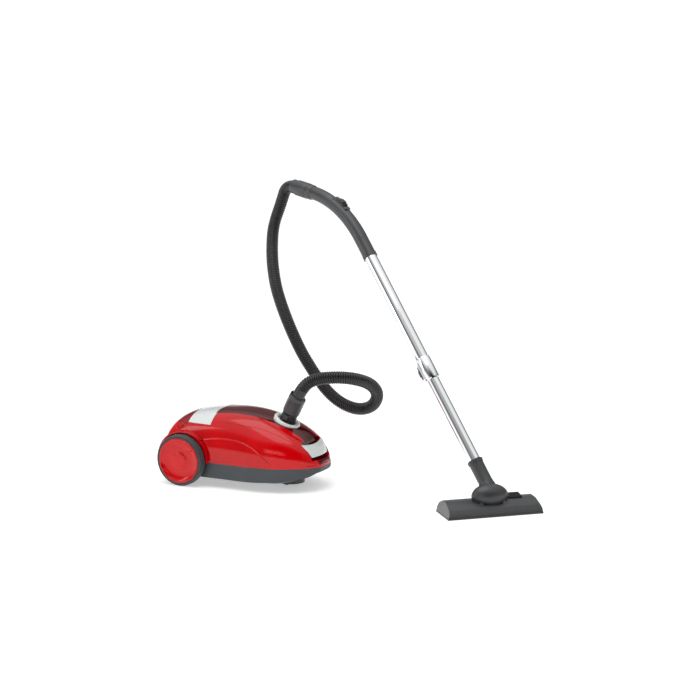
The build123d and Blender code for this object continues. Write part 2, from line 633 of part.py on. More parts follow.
OUTLET_DIR = heading(NOZZLE_TURN + 90, OUTLET_LIFT)
WAND_DIR = heading(WAND_TURN, WAND_LIFT)
DRUM_AT = Vector(NOZZLE_X, NOZZLE_Y, DRUM_Z)
NECK_AT = DRUM_AT + OUTLET_DIR * NECK_REACH


def on_wand(distance):
    """A point on the tubes' axis."""
    return NECK_AT + WAND_DIR * distance


def wand_pipe(outer, inner, start, end):
    """A round tube on the wand's axis."""
    return pipe(outer, inner, on_wand(start), on_wand(end))


def collar_place():
    """Middle of the collar, X pointing at its thumb button and Z up the wand."""
    lean = heading(WAND_TURN, WAND_LIFT + 90)
    middle = on_wand((COLLAR_START + COLLAR_END) / 2)
    return Plane(origin=middle, x_dir=lean, z_dir=WAND_DIR).location * Rot(0, 0, COLLAR_TURN)


def wand_parts(nodes):
    """Two chrome tubes, the guide bush and the telescopic lock."""
    lower_in = LOWER_R - TUBE_WALL
    upper_in = UPPER_R - TUBE_WALL
    nodes["lower_tube"] = wand_pipe(LOWER_R, lower_in, LOWER_START, LOWER_END)
    nodes["upper_tube"] = wand_pipe(UPPER_R, upper_in, UPPER_START, UPPER_END)
    nodes["guide_bush"] = wand_pipe(upper_in - RUNNING, LOWER_R, LOWER_END - 24, LOWER_END)
    half = (COLLAR_END - COLLAR_START) / 2
    step = UPPER_START - (COLLAR_START + COLLAR_END) / 2
    sleeve = turned([(LOWER_R + RUNNING, -half), (COLLAR_R - 0.6, -half), (COLLAR_R, -half + 2),
                     (COLLAR_R, half - 2), (COLLAR_R - 0.8, half), (UPPER_R, half), (UPPER_R, step),
                     (LOWER_R + RUNNING, step)])
    housing = block(12, COLLAR_R + 3.5, -8, 8, -24, 18) - Cylinder(COLLAR_R - 1, 80)
    groove = block(COLLAR_R + 0.5, COLLAR_R + 6, -5.5 - FIT, 5.5 + FIT, -22, 15)
    place = collar_place()
    nodes["lock_collar"] = place * (sleeve + housing - groove)
    button = block(COLLAR_R + 0.5 + 0.1, COLLAR_R + 5, -5.5, 5.5, -21, 8)
    button += block(COLLAR_R + 5, COLLAR_R + 7, -5.5, 5.5, -12, 2)
    nodes["lock_button"] = place * button


# ================================================================ handle
HANDLE_AT = on_wand(HANDLE_START)
HANDLE = Pos(HANDLE_AT) * Rot(0, 0, WAND_TURN)


def grip_points():
    """Start, end of the straight, centre of the bend and its end, in the handle's plane."""
    lift, out = radians(WAND_LIFT), radians(SWIVEL_LIFT)
    straight = Vector(cos(lift), 0, sin(lift)) * GRIP_STRAIGHT
    centre = straight + Vector(sin(lift), 0, -cos(lift)) * GRIP_BEND_R
    end = centre + Vector(-sin(out), 0, cos(out)) * GRIP_BEND_R
    return Vector(0, 0, 0), straight, centre, end


def grip_swivel():
    """The swivel's place (Z along its axis), its direction and the point where it starts."""
    turn = radians(WAND_TURN)
    out = heading(WAND_TURN, SWIVEL_LIFT)
    x, z = grip_points()[3].X, grip_points()[3].Z
    point = HANDLE_AT + Vector(cos(turn) * x, sin(turn) * x, z)
    side = Vector(-sin(turn), cos(turn), 0)
    return Plane(origin=point, x_dir=side, z_dir=out).location, out, point


def grip_path(extra):
    """Centre line of the grip, with a straight end towards the hose."""
    start, straight, centre, end = grip_points()
    middle_lift = radians((WAND_LIFT + SWIVEL_LIFT) / 2)
    middle = centre + Vector(-sin(middle_lift), 0, cos(middle_lift)) * GRIP_BEND_R
    out = radians(SWIVEL_LIFT)
    tail = end + Vector(cos(out), 0, sin(out)) * extra
    return Line(start, straight) + ThreePointArc(straight, middle, end) + Line(end, tail)


def slider_place():
    """Frame on the grip's centre line under the suction slider, Z pointing away from the bend."""
    centre = grip_points()[2]
    lift = radians(SLIDER_LIFT)
    point = centre + Vector(-sin(lift), 0, cos(lift)) * GRIP_BEND_R
    along = (cos(lift), 0, sin(lift))
    outward = (-sin(lift), 0, cos(lift))
    return HANDLE * Plane(origin=point, x_dir=along, z_dir=outward).location


def handle_parts(nodes):
    """Curved grip, suction slider and the swivelling hose collar."""
    path = grip_path(SWIVEL_START)
    mouth = Plane(origin=(0, 0, 0), z_dir=(cos(radians(WAND_LIFT)), 0, sin(radians(WAND_LIFT))))
    grip = sweep(mouth * Circle(GRIP_R), path=path)
    bore = sweep(mouth * Circle(GRIP_R - GRIP_WALL), path=path)
    lift = radians(WAND_LIFT)
    along = Vector(cos(lift), 0, sin(lift))
    lip = rod(GRIP_R + 1.2, (0, 0, 0), along * 12)
    socket = rod(UPPER_R, along * -1, along * (UPPER_END - HANDLE_START))
    body = HANDLE * (grip + lip - bore - socket)

    place = slider_place()
    top = GRIP_R + 2.0
    boss = place * (block(-30, 30, -9, 9, GRIP_R - 6, top) - block(-60, 60, -40, 40, -60, GRIP_R - 5.9))
    body = body + boss - HANDLE * bore
    body -= place * block(-5, 5, -4, 4, 8, top + 5)

    swivel = grip_swivel()[0]
    flare = turned([(GRIP_R - GRIP_WALL - 0.2, 2), (GRIP_R + 0.6, 2), (SWIVEL_R - 1, 10),
                    (SWIVEL_R - 1, SWIVEL_START), (16.4, SWIVEL_START), (16.4, 62), (13.5, 62),
                    (13.5, SWIVEL_START - 6), (GRIP_R - GRIP_WALL - 0.2, SWIVEL_START - 8)])
    body += swivel * flare
    nodes["handle_grip"] = body
    collar = turned([(16.4 + RUNNING, SWIVEL_START + FIT), (SWIVEL_R - 1, SWIVEL_START + FIT),
                     (SWIVEL_R, SWIVEL_START + 3), (SWIVEL_R, 70), (SWIVEL_R - 2, 72),
                     (SWIVEL_R - 2, SWIVEL_END),
                     (HOSE_R + 0.2, SWIVEL_END), (HOSE_R + 0.2, HOSE_END - 0.3), (14.5, HOSE_END - 0.3),
                     (14.5, 64), (16.4 + RUNNING, 64)])
    nodes["hose_swivel_collar"] = swivel * collar

    slide = block(-16, 16, -8.5, 8.5, top + 0.2, top + 4)
    slide += block(-9, 7, -8, 8, top + 4, top + 7)
    nodes["suction_slider"] = place * slide


# ================================================================ floor nozzle
NOZZLE = Pos(NOZZLE_X, NOZZLE_Y, 0) * Rot(0, 0, NOZZLE_TURN)


def along_x(outline, half):
    """A (y, z) outline drawn out along X, both ways."""
    face = make_face(Polyline(*[(-half, y, z) for y, z in outline], close=True))
    return extrude(face, 2 * half, dir=(1, 0, 0))


def nozzle_form(inset):
    """The cover of the nozzle, moved in by a wall thickness."""
    outline = [(NOZZLE_FRONT, SOLE), (NOZZLE_FRONT, 14), (NOZZLE_FRONT + 9, 22), (-12, NOZZLE_TOP - 2),
               (18, NOZZLE_TOP), (NOZZLE_BACK - 8, NOZZLE_TOP - 9), (NOZZLE_BACK, 14), (NOZZLE_BACK, SOLE)]
    half = NOZZLE_LENGTH / 2 - inset
    face = make_face(Polyline(*[(-half, y, z) for y, z in outline], close=True))
    if inset:
        face = offset(face, amount=-inset)
    form = extrude(face, 2 * half, dir=(1, 0, 0))
    slope = 9.0
    ends = prism_y([(-half, 0), (half, 0), (half - slope, 40), (-half + slope, 40)], -60, 60)
    form = form & ends
    if inset:
        form += Pos(0, 0, -inset - 0.2) * form
    return form


def cheek(side):
    """A raised bearing for the drum at one side."""
    x0, x1 = sorted((side * (DRUM_HALF + FIT), side * (DRUM_HALF + 10)))
    face = make_face(Polyline((x0, -30, 22), (x0, -12, 46), (x0, -4, 53), (x0, 8, 53), (x0, 20, 44),
                              (x0, 34, 24), close=True))
    return extrude(face, x1 - x0, dir=(1, 0, 0))


def nozzle_parts(nodes):
    """Cover, sole, drum, brush, rollers, pedal and screws of the floor nozzle."""
    wall = 2.2
    cover = nozzle_form(0) - nozzle_form(wall)
    cover -= rod(DRUM_R + 0.8, (-DRUM_HALF - FIT, 0, DRUM_Z), (DRUM_HALF + FIT, 0, DRUM_Z))
    cover += [cheek(-1), cheek(1)]
    cover -= rod(TRUNNION_R + RUNNING, (-50, 0, DRUM_Z), (50, 0, DRUM_Z))
    well = PEDAL_HALF + 1.5
    cover -= block(PEDAL_X - well, PEDAL_X + well, PEDAL_Y - 17, PEDAL_Y + 17, 25, 60)
    cover -= rod(2, (PEDAL_X - 21, PEDAL_Y, PEDAL_Z - 7), (PEDAL_X + 21, PEDAL_Y, PEDAL_Z - 7))
    screw_at = [(x, y) for x in (-SCREW_X, SCREW_X) for y in SCREW_YS]
    for x, y in screw_at:
        cover += rod(4, (x, y, SOLE), (x, y, NOZZLE_TOP)) & nozzle_form(0)
        cover -= rod(1.5, (x, y, 0), (x, y, 13))
    nodes["nozzle_cover"] = NOZZLE * cover

    half = NOZZLE_LENGTH / 2
    sole = block(-half, half, NOZZLE_FRONT, NOZZLE_BACK, 0, SOLE)
    sole -= block(-MOUTH_HALF, MOUTH_HALF, -15, 10, -1, 10)
    for y in (BRUSH_FRONT, BRUSH_BACK):
        sole -= block(-MOUTH_HALF, MOUTH_HALF, y - 2.5, y + 2.5, -1, 10)
    for x in (-ROLLER_X, ROLLER_X):
        sole -= block(x - 6.5, x + 6.5, ROLLER_Y - 6.6, ROLLER_Y + 6.6, -1, 10)
        for side in (-1, 1):
            x0, x1 = sorted((x + side * 6.5, x + side * 9.5))
            sole += block(x0, x1, ROLLER_Y - 4, ROLLER_Y + 4, SOLE, 9.5)
        sole -= rod(1.5, (x - 9.5, ROLLER_Y, ROLLER_R), (x + 9.5, ROLLER_Y, ROLLER_R))
    for x, y in screw_at:
        sole -= Pos(x, y, 0) * turned([(0, -1), (3, -1), (3, 2), (1.5, 2), (1.5, 5), (0, 5)])
    nodes["nozzle_sole"] = NOZZLE * sole
    screw = turned([(0, 0.6), (3, 0.6), (3, 2), (1.5, 2), (1.5, 13), (0, 13)])
    nodes["nozzle_screws"] = NOZZLE * Compound(children=[Pos(x, y, 0) * screw for x, y in screw_at])

    axles = []
    for name, x in (("left", -ROLLER_X), ("right", ROLLER_X)):
        roller = pipe(ROLLER_R, 1.5 + RUNNING, (x - 6, ROLLER_Y, ROLLER_R), (x + 6, ROLLER_Y, ROLLER_R))
        nodes["nozzle_roller_" + name] = NOZZLE * roller
        axles.append(rod(1.5, (x - 9.5, ROLLER_Y, ROLLER_R), (x + 9.5, ROLLER_Y, ROLLER_R)))
    nodes["roller_axles"] = NOZZLE * Compound(children=axles)

    bars = []
    bristles = []
    reach = MOUTH_HALF - 1
    for y in (BRUSH_FRONT, BRUSH_BACK):
        bars.append(block(-reach - 8, reach + 8, y - 3, y + 3, 10, 12.5))
        bristles.append(block(-reach, reach, y - 2, y + 2, 1.5, 10))
    carrier = bars[0] + bars[1]
    for side in (-1, 1):
        x0, x1 = sorted((side * (reach + 2), side * (reach + 8)))
        carrier += block(x0, x1, BRUSH_FRONT, BRUSH_BACK, 10, 12.5)
    nodes["brush_carrier"] = NOZZLE * carrier
    nodes["brush_bristles"] = NOZZLE * Compound(children=bristles)

    tread = block(-PEDAL_HALF, PEDAL_HALF, -14, 14, -3, 5)
    tread += block(-PEDAL_HALF, PEDAL_HALF, -5, 5, -10, -3)
    for k in range(5):
        tread += block(-14, 14, -12 + 5 * k, -10.4 + 5 * k, 5, 6)
    tread -= rod(2 + RUNNING, (-30, 0, -7), (30, 0, -7))
    rock = Pos(PEDAL_X, PEDAL_Y, PEDAL_Z) * Pos(0, 0, -7) * Rot(PEDAL_ROCK / 2, 0, 0) * Pos(0, 0, 7)
    nodes["brush_pedal"] = NOZZLE * rock * tread
    pin = rod(2, (PEDAL_X - 20, PEDAL_Y, PEDAL_Z - 7), (PEDAL_X + 20, PEDAL_Y, PEDAL_Z - 7))
    nodes["pedal_pin"] = NOZZLE * pin


def drum_parts(nodes):
    """The tilting drum and the neck that swivels in it."""
    place = Pos(DRUM_AT) * Rot(0, 0, NOZZLE_TURN)
    half, bevel = DRUM_HALF, DRUM_R - 7
    barrel = turned([(0, -half), (bevel, -half), (DRUM_R - 2.5, -half + 5), (DRUM_R, -half + 13),
                     (DRUM_R, half - 13), (DRUM_R - 2.5, half - 5), (bevel, half), (0, half)])
    barrel = Rot(0, 90, 0) * barrel
    barrel += rod(TRUNNION_R, (-DRUM_HALF - 9.5, 0, 0), (DRUM_HALF + 9.5, 0, 0))
    lift = radians(OUTLET_LIFT)
    out = Vector(0, cos(lift), sin(lift))
    barrel += rod(22, out * 10, out * 30)
    barrel -= rod(OUTLET_R + RUNNING, out * 12, out * 40)
    barrel -= rod(14, (0, 0, 0), (0, 0, -40))
    barrel -= rod(14, (0, 0, 0), out * 20) + Sphere(14)
    nodes["pivot_drum"] = place * barrel

    gap = 30.4
    neck = rod(NECK_R, NECK_AT, on_wand(NECK_LENGTH)) + Pos(NECK_AT) * Sphere(NECK_R + 0.6)
    neck += rod(NECK_R + 1.2, on_wand(NECK_LENGTH - 8), on_wand(NECK_LENGTH))
    neck += rod(NECK_R + 1.5, DRUM_AT + OUTLET_DIR * gap, DRUM_AT + OUTLET_DIR * (gap + 4))
    below = Plane(origin=DRUM_AT + OUTLET_DIR * gap, z_dir=OUTLET_DIR * -1)
    neck -= extrude(below * Circle(60), 60)
    neck += rod(OUTLET_R, DRUM_AT + OUTLET_DIR * 12.4, DRUM_AT + OUTLET_DIR * (gap + 1))
    bore = rod(14, DRUM_AT + OUTLET_DIR * 5, NECK_AT) + rod(14, NECK_AT, on_wand(LOWER_START + 1))
    bore += Pos(NECK_AT) * Sphere(14.6)
    bore += rod(LOWER_R, on_wand(LOWER_START), on_wand(NECK_LENGTH + 1))
    neck -= bore
    nodes["nozzle_neck"] = neck


# ================================================================ the whole machine
def build():
    """All nodes in the design frame."""
    nodes = {}
    casings(nodes)
    lid_parts(nodes)
    wheel_parts(nodes)
    caster_parts(nodes)
    buttons_and_switch(nodes)
    motor_parts(nodes)
    reel_parts(nodes)
    chamber_parts(nodes)
    cuff_parts(nodes)
    hose_part(nodes)
    wand_parts(nodes)
    handle_parts(nodes)
    nozzle_parts(nodes)
    drum_parts(nodes)
    return nodes


def frame_shift(nodes):
    """The move that puts the origin on the floor under the middle, leaving the hose out."""
    boxes = [shape.bounding_box() for name, shape in nodes.items() if name != "hose"]
    middle_x = (min(b.min.X for b in boxes) + max(b.max.X for b in boxes)) / 2
    middle_y = (min(b.min.Y for b in boxes) + max(b.max.Y for b in boxes)) / 2
    return Vector(-middle_x, -middle_y, 0)


NODES = build()
SHIFT = frame_shift(NODES)
os.makedirs("parts", exist_ok=True)
for name, shape in NODES.items():
    export_step(Pos(SHIFT) * shape, "parts/" + name + ".step")
print("origin moved by %.2f %.2f; %d nodes" % (SHIFT.X, SHIFT.Y, len(NODES)))
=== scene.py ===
"""Looks of a canister vacuum cleaner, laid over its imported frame."""
from math import cos, pi, radians, sin, sqrt

import bmesh
import bpy
from mathutils import Matrix, Vector
from mathutils.bvhtree import BVHTree


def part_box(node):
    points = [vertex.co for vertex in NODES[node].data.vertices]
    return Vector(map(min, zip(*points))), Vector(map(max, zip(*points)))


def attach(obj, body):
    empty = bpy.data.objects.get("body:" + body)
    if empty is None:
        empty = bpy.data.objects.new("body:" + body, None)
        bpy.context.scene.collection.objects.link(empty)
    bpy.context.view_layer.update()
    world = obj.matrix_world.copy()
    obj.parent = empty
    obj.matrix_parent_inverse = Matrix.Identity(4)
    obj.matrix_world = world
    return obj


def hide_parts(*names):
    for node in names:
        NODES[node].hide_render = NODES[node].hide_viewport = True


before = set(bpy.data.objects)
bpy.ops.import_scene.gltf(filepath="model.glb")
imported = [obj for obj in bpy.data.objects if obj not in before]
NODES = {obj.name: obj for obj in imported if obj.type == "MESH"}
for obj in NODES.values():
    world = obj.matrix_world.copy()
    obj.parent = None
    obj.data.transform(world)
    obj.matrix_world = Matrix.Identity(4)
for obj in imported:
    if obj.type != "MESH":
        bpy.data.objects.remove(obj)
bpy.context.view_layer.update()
MM = 0.001

# ---------------------------------------------------------------- places
# Maker's coordinates, in millimetres: X runs forward from the rear axle, Y to
# the cleaner's left and Z up. at() turns them into metres of the frame.
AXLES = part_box("wheel_axles")
AXLE_X = (AXLES[0][0] + AXLES[1][0]) / 2
MIDDLE_Y = (AXLES[0][1] + AXLES[1][1]) / 2


def at(x, y, z):
    """A point of the frame from the maker's millimetres."""
    return Vector((AXLE_X + x * MM, MIDDLE_Y + y * MM, z * MM))


def place(origin, turn=0.0, lean=0.0):
    """A local frame: turned about Z, then leaned about its own Y, in degrees."""
    return (Matrix.Translation(origin) @ Matrix.Rotation(radians(turn), 4, "Z")
            @ Matrix.Rotation(radians(lean), 4, "Y") @ Matrix.Scale(MM, 4))


INLET = place(at(250, 0, 172), 0, 26)
NOZZLE = place(at(839, -27, 0), 42)
WAND_TURN, WAND_LIFT = 156.0, 50.0
NECK_BEND = at(821.97, -8.08, 68.46)
WAND = place(NECK_BEND, WAND_TURN, 90 - WAND_LIFT)

# ---------------------------------------------------------------- camera
CAMERA_AT = at(2204.81, -3624.31, 1053.14)
CAMERA_TURN, CAMERA_LIFT = 26.0, 9.5
camera_data = bpy.data.cameras.new("camera")
camera_data.sensor_width = 36.0
camera_data.lens = 81.2
camera_data.clip_end = 200.0
camera = bpy.data.objects.new("camera", camera_data)
camera.location = CAMERA_AT
camera.rotation_euler = (radians(90 - CAMERA_LIFT), 0, radians(CAMERA_TURN))
bpy.context.collection.objects.link(camera)
bpy.context.scene.camera = camera


# ---------------------------------------------------------------- mesh helpers
def finished(name, bm, *finishes, crease=40.0):
    """A smooth-shaded object from a bmesh, with edges sharper than the crease left crisp."""
    for face in bm.faces:
        face.smooth = True
    for edge in bm.edges:
        edge.smooth = len(edge.link_faces) == 2 and edge.calc_face_angle() < radians(crease)
    mesh = bpy.data.meshes.new(name)
    bm.to_mesh(mesh)
    bm.free()
    for finish in finishes:
        mesh.materials.append(finish)
    piece = bpy.data.objects.new(name, mesh)
    bpy.context.collection.objects.link(piece)
    return piece


def spun(profile, matrix, steps=96, close=False):
    """A turned form: (radius, height) points spun about the local Z axis."""
    bm = bmesh.new()
    line = [bm.verts.new((r, 0, z)) for r, z in profile]
    edges = [bm.edges.new(pair) for pair in zip(line, line[1:])]
    if close:
        edges.append(bm.edges.new((line[-1], line[0])))
    bmesh.ops.spin(bm, geom=line + edges, cent=(0, 0, 0), axis=(0, 0, 1), angle=2 * pi,
                   steps=steps, use_merge=True, use_duplicate=False)
    bmesh.ops.remove_doubles(bm, verts=bm.verts, dist=1e-4)
    bmesh.ops.recalc_face_normals(bm, faces=bm.faces)
    bmesh.ops.transform(bm, matrix=matrix, verts=bm.verts)
    return bm


def slab(outline, low, high, matrix, soften=0.0, segments=3):
    """A flat outline in the local XY plane drawn up from low to high, with softened edges."""
    bm = bmesh.new()
    corners = [bm.verts.new((x, y, low)) for x, y in outline]
    base = bm.faces.new(corners)
    risen = bmesh.ops.extrude_face_region(bm, geom=[base])["geom"]
    tops = [v for v in risen if isinstance(v, bmesh.types.BMVert)]
    bmesh.ops.translate(bm, vec=(0, 0, high - low), verts=tops)
    bmesh.ops.recalc_face_normals(bm, faces=bm.faces)
    if soften:
        bmesh.ops.bevel(bm, geom=bm.edges[:], offset=soften, segments=segments, profile=0.5,
                        affect="EDGES", material=-1, clamp_overlap=True)
    bmesh.ops.transform(bm, matrix=matrix, verts=bm.verts)
    return bm


def merged_copy(node):
    """The CAD piece's own shape as one connected mesh."""
    bm = bmesh.new()
    bm.from_mesh(NODES[node].data)
    bmesh.ops.remove_doubles(bm, verts=bm.verts, dist=2e-6)
    bmesh.ops.dissolve_degenerate(bm, dist=1e-6, edges=bm.edges)
    return bm


def stand_for(piece, body, slot, *nodes):
    """The piece rides on a body and hides the CAD nodes it stands for; slot is not used."""
    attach(piece, body)
    if nodes:
        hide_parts(*nodes)


def smooth_piece(node, body, slot, finish, crease=32.0):
    """A smooth-shaded copy of a CAD piece."""
    piece = finished(node + "_moulding", merged_copy(node), finish, crease=crease)
    stand_for(piece, body, slot, node)
    return piece


# ---------------------------------------------------------------- material helpers
def linear(code):
    """An sRGB hex colour as linear RGBA."""
    channels = [int(code[k:k + 2], 16) / 255 for k in (0, 2, 4)]
    return tuple([c / 12.92 if c <= 0.04045 else ((c + 0.055) / 1.055) ** 2.4 for c in channels] + [1.0])


def add(tree, kind, inputs=None, **settings):
    """One node with its settings; an input is a value or another node's socket."""
    node = tree.nodes.new("ShaderNode" + kind)
    for key, value in settings.items():
        setattr(node, key, value)
    for key, value in (inputs or {}).items():
        if isinstance(value, bpy.types.NodeSocket):
            tree.links.new(value, node.inputs[key])
        else:
            node.inputs[key].default_value = value
    return node


def new_material(name):
    """An empty material with its output."""
    material = bpy.data.materials.new(name)
    material.use_nodes = True
    material.node_tree.nodes.clear()
    tree = material.node_tree
    output = add(tree, "OutputMaterial")
    return material, tree, output


def moulded(name, colour, shade, roughness, grain_mm, grain_depth, ior=1.53, coat=0.0, spread=0.08,
            sheen=0.0, specular=0.5):
    """A moulded plastic or rubber: mottled colour, uneven polish and a fine moulded grain."""
    material, tree, output = new_material(name)
    where = add(tree, "TexCoord").outputs["Object"]
    cloud = add(tree, "TexNoise", {"Vector": where, "Scale": 9.0, "Detail": 3.0, "Roughness": 0.55})
    tint = add(tree, "ValToRGB", {"Fac": cloud.outputs["Fac"]})
    tint.color_ramp.elements[0].position = 0.35
    tint.color_ramp.elements[0].color = linear(shade)
    tint.color_ramp.elements[1].position = 0.62
    tint.color_ramp.elements[1].color = linear(colour)
    polish = add(tree, "TexNoise", {"Vector": where, "Scale": 60.0, "Detail": 2.0})
    rough = add(tree, "MapRange", {"Value": polish.outputs["Fac"], "From Min": 0.3, "From Max": 0.7,
                                   "To Min": max(0.02, roughness - spread / 2),
                                   "To Max": roughness + spread / 2})
    grain = add(tree, "TexNoise", {"Vector": where, "Scale": 1000.0 / grain_mm, "Detail": 2.0})
    bump = add(tree, "Bump", {"Height": grain.outputs["Fac"], "Strength": grain_depth, "Distance": 0.0003})
    shader = add(tree, "BsdfPrincipled",
                 {"Base Color": tint.outputs["Color"], "Roughness": rough.outputs["Result"], "IOR": ior,
                  "Coat Weight": coat, "Coat Roughness": 0.04, "Sheen Weight": sheen,
                  "Specular IOR Level": specular,
                  "Normal": bump.outputs["Normal"]})
    tree.links.new(shader.outputs["BSDF"], output.inputs["Surface"])
    return material


def metal(name, colour, roughness, stretch=(1, 1, 1), scale=400.0, depth=0.02, spread=0.05):
    """A bare metal with faint drawing or turning marks."""
    material, tree, output = new_material(name)
    where = add(tree, "TexCoord").outputs["Object"]
    along = add(tree, "Mapping", {"Vector": where, "Scale": stretch})
    marks = add(tree, "TexNoise", {"Vector": along.outputs["Vector"], "Scale": scale, "Detail": 3.0})
    rough = add(tree, "MapRange", {"Value": marks.outputs["Fac"], "From Min": 0.3, "From Max": 0.7,
                                   "To Min": max(0.01, roughness - spread / 2),
                                   "To Max": roughness + spread / 2})
    bump = add(tree, "Bump", {"Height": marks.outputs["Fac"], "Strength": depth, "Distance": 0.0002})
    shader = add(tree, "BsdfPrincipled",
                 {"Base Color": linear(colour), "Metallic": 1.0, "Roughness": rough.outputs["Result"],
                  "Normal": bump.outputs["Normal"]})
    tree.links.new(shader.outputs["BSDF"], output.inputs["Surface"])
    return material


# High-gloss ABS in candy red: deep colour under a mirror-like clear polish.
RED_ABS = moulded("high_gloss_red_abs", "D00009", "BE0007", 0.10, 1.6, 0.010, spread=0.04,
                  specular=0.34)
# The same plastic over the exhaust, in a deeper shade.
DEEP_RED_ABS = moulded("deep_gloss_red_abs", "980007", "860006", 0.12, 1.6, 0.010, spread=0.04,
                       specular=0.34)
# Tinted polycarbonate over a dark chamber: reads as a near-black maroon until it mirrors the room.
TINTED_PC = moulded("maroon_tinted_polycarbonate", "5C0009", "4A0007", 0.06, 1.8, 0.008, ior=1.58,
                    specular=0.30, spread=0.03)
# Pearl-silver painted ABS: pale, softly mirrored, with a cool shade.
PEARL_ABS = moulded("pearl_silver_painted_abs", "E2E7E6", "D8DEDD", 0.18, 0.5, 0.02, coat=0.5)
WHITE_ABS = moulded("warm_white_gloss_abs", "E4E8E2", "DADFD9", 0.18, 0.9, 0.015, coat=0.3)
# Slate-grey polypropylene with a fine spark-eroded grain.
SLATE_PP = moulded("slate_grained_polypropylene", "3A4045", "343A3F", 0.44, 0.7, 0.16)
# Charcoal ABS, satin, with the same grain but finer.
CHARCOAL_ABS = moulded("charcoal_satin_abs", "3B3C3E", "333436", 0.36, 0.6, 0.08)
DARK_ABS = moulded("dark_satin_abs", "2C2D2F", "262729", 0.38, 0.6, 0.08)
PALE_ABS = moulded("mid_grey_satin_abs", "5C5E60", "525456", 0.36, 0.6, 0.08)
BLACK_ABS = moulded("black_satin_abs", "1C1D1F", "151618", 0.30, 0.6, 0.08)
# Thermoplastic rubber of the tyres: dull, with a dusty pale bloom.
TYRE_RUBBER = moulded("charcoal_tyre_rubber", "34383A", "2C3032", 0.62, 0.9, 0.25, ior=1.52, sheen=0.25)
SEAL_RUBBER = moulded("black_seal_rubber", "17181A", "111213", 0.70, 0.8, 0.2, ior=1.52, sheen=0.2)
# Blow-moulded polyethylene of the hose: dark with a slight wet shine on its ribs.
HOSE_PE = moulded("black_blow_moulded_polyethylene", "17181A", "111213", 0.30, 1.2, 0.05)
INNER_PP = moulded("mid_grey_polypropylene", "8A8D8F", "7E8183", 0.5, 0.9, 0.1)
# Decorative chrome plating on steel tube, with hair-thin polishing marks along it.
CHROME = metal("chrome_plated_steel_tube", "E6E8EA", 0.05, (1, 1, 1), 250.0, 0.01, 0.03)
STEEL = metal("bright_turned_steel", "B9BCC0", 0.28, (1, 1, 6), 500.0, 0.05)
CAST_ALUMINIUM = metal("die_cast_aluminium", "B4B7BA", 0.42, (1, 1, 1), 300.0, 0.12)
LAMINATION_STEEL = metal("stacked_lamination_steel", "5C5753", 0.45, (30, 1, 1), 120.0, 0.3)


def fibrous(name, colour, shade, fibre_mm, depth, roughness=0.9):
    """Fleece, filter paper or bristle: matte, with fine crossed fibres."""
    material, tree, output = new_material(name)
    where = add(tree, "TexCoord").outputs["Object"]
    fibres = add(tree, "TexNoise", {"Vector": where, "Scale": 1000.0 / fibre_mm, "Detail": 6.0,
                                    "Distortion": 1.4})
    tint = add(tree, "Mix", {"Factor": fibres.outputs["Fac"]}, data_type="RGBA")
    tint.inputs["A"].default_value = linear(shade)
    tint.inputs["B"].default_value = linear(colour)
    bump = add(tree, "Bump", {"Height": fibres.outputs["Fac"], "Strength": depth, "Distance": 0.0005})
    shader = add(tree, "BsdfPrincipled", {"Base Color": tint.outputs["Result"], "Roughness": roughness,
                                          "Sheen Weight": 0.3, "Normal": bump.outputs["Normal"]})
    tree.links.new(shader.outputs["BSDF"], output.inputs["Surface"])
    return material


FLEECE = fibrous("white_filter_fleece", "E8E6DF", "CFCCC2", 2.0, 0.5)
BAG_PAPER = fibrous("brown_two_ply_filter_paper", "CDB48C", "B89B72", 3.0, 0.35)
BAG_CARD = fibrous("pressed_grey_card", "B39A78", "9C8463", 4.0, 0.3)
BRISTLE = fibrous("black_nylon_bristle", "222325", "111213", 1.5, 0.8, 0.5)

# ---------------------------------------------------------------- hose
# Control points of the hose's line, from the cuff's socket to the handle's collar.
HOSE_ROUTE = [
    (-0.16395, -0.08995, 0.23267), (-0.14574, -0.08995, 0.27000), (-0.11854, -0.06995, 0.29000),
    (-0.06854, -0.04995, 0.29500), (-0.02854, -0.01995, 0.29000), (-0.00354, 0.03005, 0.27000),
    (0.00146, 0.07005, 0.23500), (-0.02354, 0.09005, 0.19500), (-0.06854, 0.09205, 0.18000),
    (-0.11854, 0.08505, 0.19500), (-0.16354, 0.08005, 0.23000), (-0.20354, 0.07505, 0.28500),
    (-0.23854, 0.07505, 0.33500), (-0.28354, 0.08505, 0.41000), (-0.33354, 0.11505, 0.49000),
    (-0.37054, 0.16005, 0.55300), (-0.39954, 0.21005, 0.60700), (-0.40954, 0.23805, 0.66100),
    (-0.38754, 0.24405, 0.72300), (-0.36180, 0.23154, 0.77958), (-0.32210, 0.21386, 0.77270)]
HOSE_RADIUS = 17.0 * MM
RIB_PITCH = 6.0 * MM
RIB_STEPS = 7
SLEEVE = 34 * MM          # smooth sleeve at the cuff end of the hose


def route_line(points):
    """Points along the smooth line through a route's control points."""
    data = bpy.data.curves.new("hose_line", "CURVE")
    data.dimensions = "3D"
    data.resolution_u = 48
    spline = data.splines.new("NURBS")
    spline.points.add(len(points) - 1)
    for point, place_of in zip(spline.points, points):
        point.co = (*place_of, 1.0)
    spline.order_u = 3
    spline.use_endpoint_u = True
    holder = bpy.data.objects.new("hose_line", data)
    bpy.context.collection.objects.link(holder)
    mesh = bpy.data.meshes.new_from_object(holder)
    line = [v.co.copy() for v in mesh.vertices]
    bpy.data.objects.remove(holder)
    bpy.data.meshes.remove(mesh)
    return line


